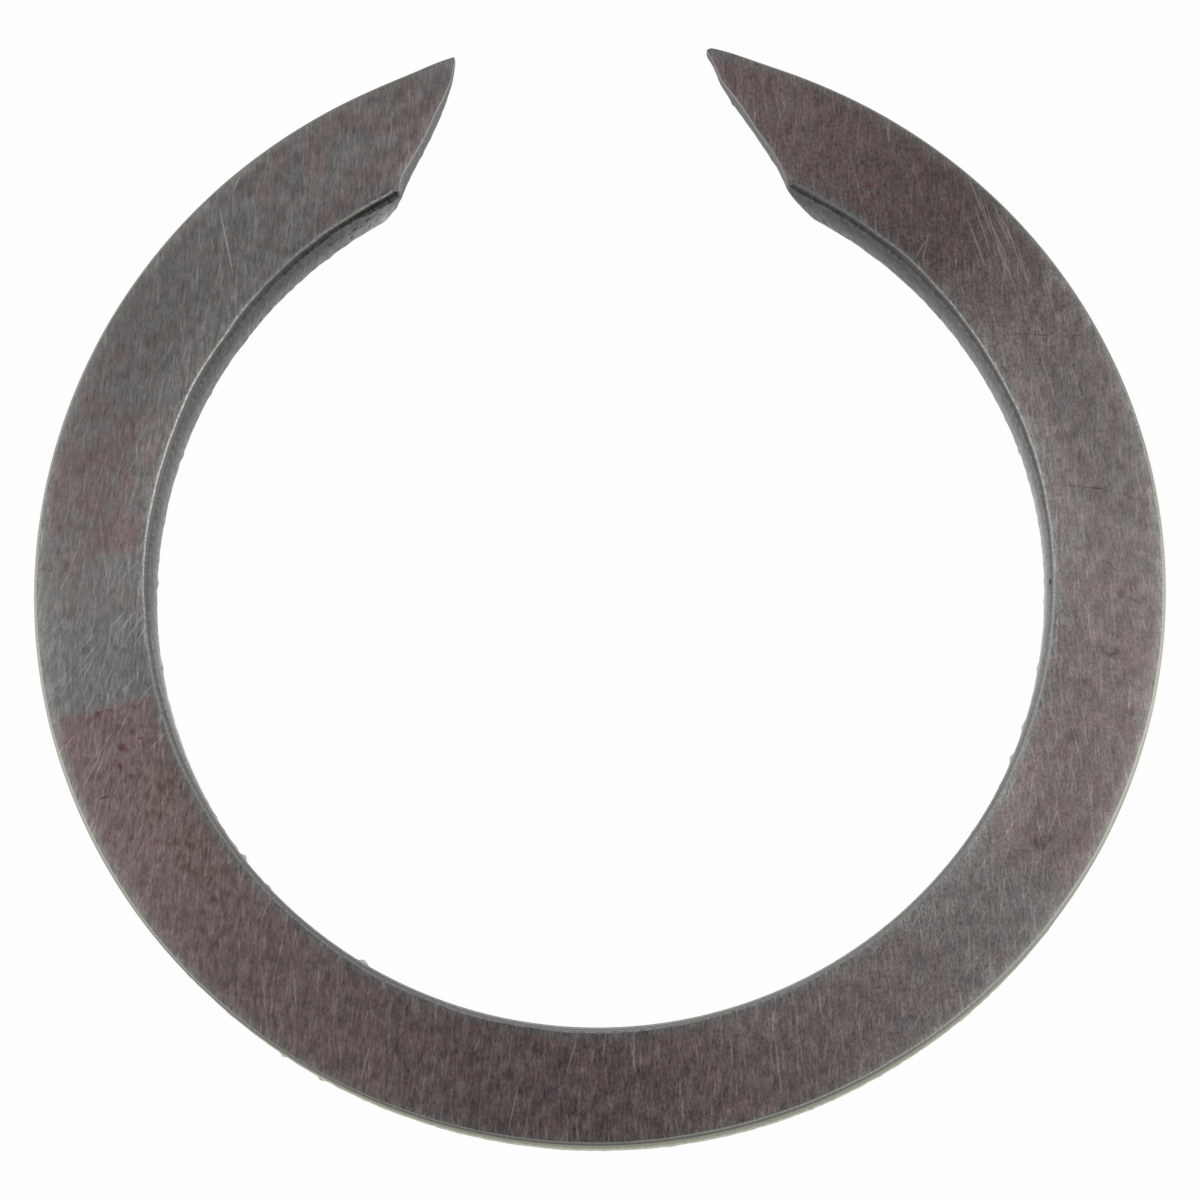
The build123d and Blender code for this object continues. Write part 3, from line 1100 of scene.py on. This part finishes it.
# How far the painted shade darkens the face.
FACE_SHADE_DEPTH = 0.50
RED_WIDTH = 0.07
RED_LINE_STRENGTH = 0.35
SPECK_STRENGTH = 0.50
GOUGE_STRENGTH = 0.85
SCRATCH_STRENGTH = 0.50
BRIGHT_STRENGTH = 0.52
# Spots in the order in which they cover each other: where, strength and colour.
SPOTS = [(RED_SPOTS, 0.75, RED_STAIN), (FAINT_SPOTS, 0.30, RED_STAIN),
         (DARK_SPOTS, 0.45, DARK_STAIN), (RUST_SPOTS, 0.60, RUST_STAIN)]
SHADE_CLOUD = (0.5, 1.9, 1.4, 77.9)
# Distances from the bore and from a border at which the glow and the brighter border line begin
# and are full.
GLOW_REACH = (1.8, 0.3)
BORDER_LINE_REACH = (0.50, 0.03)
FACE_ROUGHNESS = 0.22
GRAIN_ROUGHNESS = 0.10
MARK_ROUGHNESS = 0.05
GRIND_DEPTH = 0.0000022

# Painted shade: the face is darkened by angle.
dull = 1.0 - carried("face_shade") * FACE_SHADE_DEPTH
lively = 1.0 + carried("contrast") * (grain - 0.5)
shade = carried("cloudy") * (streaked(loose_place, *SHADE_CLOUD) - 0.5)
glow = carried("bore_glow") * ease(from_bore, *GLOW_REACH)
lively = lively * (1.0 + (shade + glow))
border_line = carried("shine") * ease(carried("to_border"), *BORDER_LINE_REACH)
colour = blend(1.0, CLEAN_STEEL, grey(dull * lively * (1.0 + border_line)), "MULTIPLY")
colour = blend(film, colour, blend(1.0, colour, STAIN_TINT, "MULTIPLY"))
olive = all_blots(loose_place, OLIVE_PATCHES) * mist
colour = blend(olive, colour, blend(1.0, colour, OLIVE_TINT, "MULTIPLY"))
colour = blend(speck * SPECK_STRENGTH, colour, DARK_STAIN)
red = all_strokes(loose_place, RED_LINES, RED_WIDTH)
colour = blend(red * RED_LINE_STRENGTH, colour, RED_STAIN)
for spots, strength, stain in SPOTS:
    colour = blend(all_blots(loose_place, spots) * strength, colour, stain)
colour = blend(gouge * GOUGE_STRENGTH, colour, DARK_STAIN)
colour = blend(scratch * SCRATCH_STRENGTH, colour, scaled(colour, SCRATCH_GAIN))
colour = blend(bright * BRIGHT_STRENGTH, colour, BRIGHT_STEEL)
plug(colour, metal.inputs["Base Color"])
rough = FACE_ROUGHNESS + grain * GRAIN_ROUGHNESS
plug(rough + (film + scratch) * MARK_ROUGHNESS, metal.inputs["Roughness"])
bump = node("Bump", {"Height": grain, "Distance": GRIND_DEPTH, "Strength": 1.0})
plug(bump, metal.inputs["Normal"])

# %% [markdown]
# ## The punched walls
#
# A wall changes on its way down. The rolled edge has a painted highlight at its top, a painted
# dark band of shade lies right under it in the bore, the sheared part is smooth, and the torn
# part is dull with small pits. Painted shading makes the wall darker at the top and lighter at
# its foot, and a painted glint runs along the back edge. Depth below the front face picks the
# zone, and streaks that run straight down are the punch's shear lines. One material could do
# for all walls, but the rim has been rubbed on its way through many hands. It has painted
# highlights at the ring's two sides and a warm shine where it is seen at a flat angle, and that
# shine is one colour on the shader, so the rim has its own material.

# %% What both wall materials share
WALL_DEPTH = 0.000006
# Colour of the painted highlights at the top of the bore's wall and along the back edge.
HIGHLIGHT_STEEL = (0.62, 0.61, 0.57)
SHEAR_SHARE = 0.30
MOTTLE_SHARE = 0.36
EVEN_SHARE = 0.67
# Streaks on a wall: turn, stretch along the outline and down, seed, and the noise's range.
SHEAR = (0.0, 7.0, 0.9, 13.0, 0.25, 0.75)
MOTTLE = (0.0, 5.5, 5.0, 67.0, 0.3, 0.7)
SHAKE = 0.12
# Depths, in millimetres, at which a change down the wall begins and is full.
LIGHT_DEPTHS = (0.1, 2.2)
GLINT_DEPTHS = (1.84, 1.97)
DULL_DEPTHS = (0.2, 0.9)
GLINT = 0.45
WALL_ROUGHNESS = 0.32
TORN_ROUGHNESS = 0.18
MOTTLE_BUMP = 0.7
BUMP_STRENGTH = 0.7


def wall_marks():
    """The wall's own map in millimetres, the depth below the front face, upright shear marks,
    even mottle, and the depth shaken a little by the mottle."""
    sheet = node("UVMap", uv_map="along_and_down")
    depth = split("XYZ", sheet)[1]
    shear = streaked(sheet, *SHEAR)
    mottle = streaked(sheet, *MOTTLE)
    return sheet, depth, shear, mottle, depth + (mottle - 0.5) * SHAKE


def wall_light(depth, shear, mottle, top, foot):
    """A grey factor: some shear marks and mottle, times a painted shading that is darker at the
    top of the wall and lighter at its foot.
    """
    noise = shear * SHEAR_SHARE + mottle * MOTTLE_SHARE
    return grey((EVEN_SHARE + noise) * ease(depth, *LIGHT_DEPTHS, top, foot))


def finish_wall(shader, colour, depth, shear, mottle, shaky):
    """Adds a painted glint along the back edge, a roughness that grows with depth, and the bump of
    shear and mottle."""
    # A painted glint along the back edge.
    glint = ease(shaky, *GLINT_DEPTHS) * GLINT
    plug(blend(glint, colour, HIGHLIGHT_STEEL), shader.inputs["Base Color"])
    rough = WALL_ROUGHNESS + ease(depth, *DULL_DEPTHS) * TORN_ROUGHNESS
    plug(rough, shader.inputs["Roughness"])
    bump = node("Bump", {"Height": shear + mottle * MOTTLE_BUMP, "Distance": WALL_DEPTH,
                         "Strength": BUMP_STRENGTH})
    plug(bump, shader.inputs["Normal"])


# %% The rim's material
RIM_TOP = (0.240, 0.236, 0.220)
RIM_FOOT = (0.55, 0.54, 0.505)
# Painted highlight colour of the rim's wall.
RIM_HIGHLIGHT = (0.66, 0.65, 0.605)
RIM_ROLLED = (0.225, 0.221, 0.203)
# Painted highlight colour of the rim's rolled edge.
RIM_ROLL_HIGHLIGHT = (0.56, 0.555, 0.495)
RIM_GRAZING = (0.675, 0.675, 0.525)
# Depths at which the rim's foot begins and is full, and the same for its roll, upwards.
RIM_FOOT_DEPTHS = (0.55, 1.15)
RIM_ROLL_DEPTHS = (0.22, 0.06)
RIM_LIGHT = (0.65, 1.15)

rim_wall, metal = new_metal("punched_rim", RIM_GRAZING)
sheet, depth, shear, mottle, shaky = wall_marks()
colour = blend(ease(shaky, *RIM_FOOT_DEPTHS), RIM_TOP, RIM_FOOT)
# Painted highlight on the rim, by angle, brightest at the ring's two sides.
rim_lit = carried("rim_highlight")
colour = blend(rim_lit, colour, RIM_HIGHLIGHT)
colour = blend(1.0, colour, wall_light(depth, shear, mottle, *RIM_LIGHT), "MULTIPLY")
rolled = blend(rim_lit, RIM_ROLLED, RIM_ROLL_HIGHLIGHT)
colour = blend(ease(depth, *RIM_ROLL_DEPTHS), colour, rolled)
finish_wall(metal, colour, depth, shear, mottle, shaky)

# %% The material of the bore and the ends
BORE_STEEL = (0.52, 0.52, 0.52)
# Colour of the painted shade on the bore's wall.
SHADED_BORE_STEEL = (0.160, 0.163, 0.170)
END_STEEL = (0.285, 0.285, 0.283)
DARK_END = (0.165, 0.165, 0.166)
ROLL_STEEL = (0.25, 0.245, 0.235)
# Near black, for the pits and for the painted shade under the bore's roll.
PIT_AND_SHADE_BLACK = (0.028, 0.026, 0.024)
GRAZING = (0.5, 0.5, 0.5)
# Pits on the bore's wall: angle, depth and radius.
WALL_PITS = [(30.3, 0.77, 0.13), (32.2, 0.95, 0.11), (29.4, 1.52, 0.08), (36.4, 0.71, 0.10),
             (35.3, 0.75, 0.07), (28.1, 1.04, 0.06), (268.0, 0.16, 0.13), (267.4, 0.22, 0.10)]
BORE_LIGHT = (0.60, 1.50)
# Depths at which the small pits, the roll, the painted shade band and the painted highlight line
# begin and are full.
PIT_DEPTHS = (0.4, 0.6)
BORE_ROLL_DEPTHS = (0.12, 0.05)
ROLL_SHADE_DEPTHS = (0.012, 0.030)
EDGE_HIGHLIGHT_DEPTHS = (0.014, 0.004)
PIT_BORDER = (0.35, 0.65)
# How deep the painted shade under the roll reaches: its amounts, and the depths that go with them.
ROLL_SHADE_FOOT = (0.70, 0.90, 0.12, 0.36)
ROLL_SHADE_FADE = (0.05, -0.08)

sheared, metal = new_metal("punched_wall", GRAZING)
sheet, depth, shear, mottle, shaky = wall_marks()
on_cut = carried("cut_end")
bore_shade_amount = carried("bore_shade")
in_bore = number("SUBTRACT", 1.0, on_cut, clamp=True)
pits = use(dots, Position=sheet, Density=1.9, Seed=9.0, Radius=0.16)
pits = ease(pits, *PIT_BORDER) * ease(depth, *PIT_DEPTHS) * bore_shade_amount
named_pits = all_blots(sheet, [(length_at(angle), below, size)
                               for angle, below, size in WALL_PITS])
pits = number("MAXIMUM", pits, named_pits) * in_bore

# Painted shade: the bore's wall darker by angle.
colour = blend(bore_shade_amount, BORE_STEEL, SHADED_BORE_STEEL)
colour = blend(1.0, colour, wall_light(depth, shear, mottle, *BORE_LIGHT), "MULTIPLY")
colour = blend(on_cut, colour, blend(mottle, DARK_END, END_STEEL))
# Painted light and shade on the bore's rolled edge, by angle.
roll_colour = blend(on_cut, scaled(ROLL_STEEL, carried("roll_light_and_shade")), END_STEEL)
colour = blend(ease(depth, *BORE_ROLL_DEPTHS), colour, roll_colour)
# Painted shade: a dark band right under the bore's rolled edge.
roll_shade = carried("shade_under_roll")
roll_shade_foot = ease(roll_shade, *ROLL_SHADE_FOOT)
band = ease(depth, *ROLL_SHADE_DEPTHS) * ease(shaky - roll_shade_foot, *ROLL_SHADE_FADE)
band = band * (0.55 + shear * 0.5) * (in_bore * roll_shade)
colour = blend(band, colour, PIT_AND_SHADE_BLACK)
colour = blend(pits, colour, PIT_AND_SHADE_BLACK)
# Painted highlight: a bright line at the top of the bore's wall and the cut ends.
edge_highlight_mask = ease(depth, *EDGE_HIGHLIGHT_DEPTHS) * (0.45 + mottle * 0.55)
colour = blend(edge_highlight_mask, colour, scaled(HIGHLIGHT_STEEL, carried("edge_highlight")))
finish_wall(metal, colour, depth, shear, mottle, shaky)

for material in (sheared, face, rim_wall):
    steel.materials.append(material)
steel.polygons.foreach_set("material_index", kinds)
print("materials:", [material.name for material in steel.materials])

# %% [markdown]
# ## Table, lights and background
#
# The photograph has a pure white ground and no shadow worth the name, as under a light tent.
# A white floor that is lit until it clips would also burn out the steel, so the floor shows the
# camera mostly its own even white and keeps only a little of the real light, in which the
# contact shadow lies. Metal shows what is around it. The tent is lit from the left and the
# right, it is darker at its near and far sides, and it has a dark slot overhead where the
# camera looks in. That, with the painted shade and highlights on the steel, is what makes the
# near part of the ring dark and its two sides bright.

# %% White table
FLOOR_HALF = 3.0
FLOOR_DROP = 0.00001
OWN_WHITE = 0.97

floor_mesh = bpy.data.meshes.new("floor")
corner = np.array([(-1, -1), (1, -1), (1, 1), (-1, 1)]) * FLOOR_HALF
floor_mesh.from_pydata([(x, y, -FLOOR_DROP) for x, y in corner], [], [(0, 1, 2, 3)])
floor = bpy.data.objects.new("floor", floor_mesh)
bpy.context.scene.collection.objects.link(floor)
table = bpy.data.materials.new("white_table")
table.use_nodes = True
work_in(table.node_tree)
board.nodes.clear()
matt = node("BsdfDiffuse", {"Color": (0.9, 0.9, 0.9, 1)})
own = node("Emission", {"Color": (1, 1, 1, 1), "Strength": 1.0})
ray = node("LightPath", out="Is Camera Ray")
seen = number("MAXIMUM", ray, ray.beside("Is Glossy Ray"))
seen = number("MAXIMUM", seen, ray.beside("Is Transmission Ray"))
mixed = node("MixShader", {0: seen * OWN_WHITE, 1: matt, 2: own})
plug(mixed, board.nodes.new("ShaderNodeOutputMaterial").inputs["Surface"])
floor_mesh.materials.append(table)

# %% The light tent
SLOT_HALF_X = 0.16
SLOT_HALF_Y = 0.55
SLOT_MIDDLE = (-0.02, -0.05)
SLOT_LEVEL = 0.28
TENT_LEVEL = 1.25
DIM_SIDE_LEVEL = 0.45
HORIZON_SHARE = 0.55
LIGHTS_FORWARD = 0.12
# Heights, as the upward part of a direction, between which each part of the tent changes.
SLOT_HEIGHTS = (0.6, 0.2)
SIDE_HEIGHTS = (0.05, 0.65)
# How far from the slot's middle its edge begins and ends, in shares of its half size.
SLOT_EDGE = (0.2, 1.6)
# Where the dim sides begin and are full: how endwise, and how far from straight up.
DIM_ENDWISE = (0.15, 0.80)
DIM_FROM_UP = (0.30, 0.60)
# Added under a root, it keeps the length above zero straight up.
NEVER_ZERO = 0.0001

world = bpy.data.worlds.new("light_tent")
world.use_nodes = True
bpy.context.scene.world = world
work_in(world.node_tree)
board.nodes.clear()
way_x, way_y, way_z = split("XYZ", node("TexCoord", out="Generated"))
across = (way_x - SLOT_MIDDLE[0]) / SLOT_HALF_X
deep = (way_y - SLOT_MIDDLE[1]) / SLOT_HALF_Y
away = number("SQRT", across * across + deep * deep) + ease(way_z, *SLOT_HEIGHTS, 0.0, 4.0)
out_from_up = number("SQRT", way_x * way_x + (way_y * way_y + NEVER_ZERO))
endwise = number("ABSOLUTE", LIGHTS_FORWARD + way_y / out_from_up)
dim = ease(endwise, *DIM_ENDWISE) * ease(out_from_up, *DIM_FROM_UP)
side = between(dim, TENT_LEVEL, DIM_SIDE_LEVEL)
side = side * ease(way_z, *SIDE_HEIGHTS, HORIZON_SHARE, 1.0)
level = between(ease(away, *SLOT_EDGE), SLOT_LEVEL, side)
level = between(node("LightPath", out="Is Camera Ray"), level, 1.0)
background = node("Background", {"Color": (1, 1, 1, 1), "Strength": level})
plug(background, board.nodes.new("ShaderNodeOutputWorld").inputs["Surface"])
bpy.context.scene.view_settings.view_transform = "Standard"
print("tent level", TENT_LEVEL, "and", SLOT_LEVEL, "in its slot")
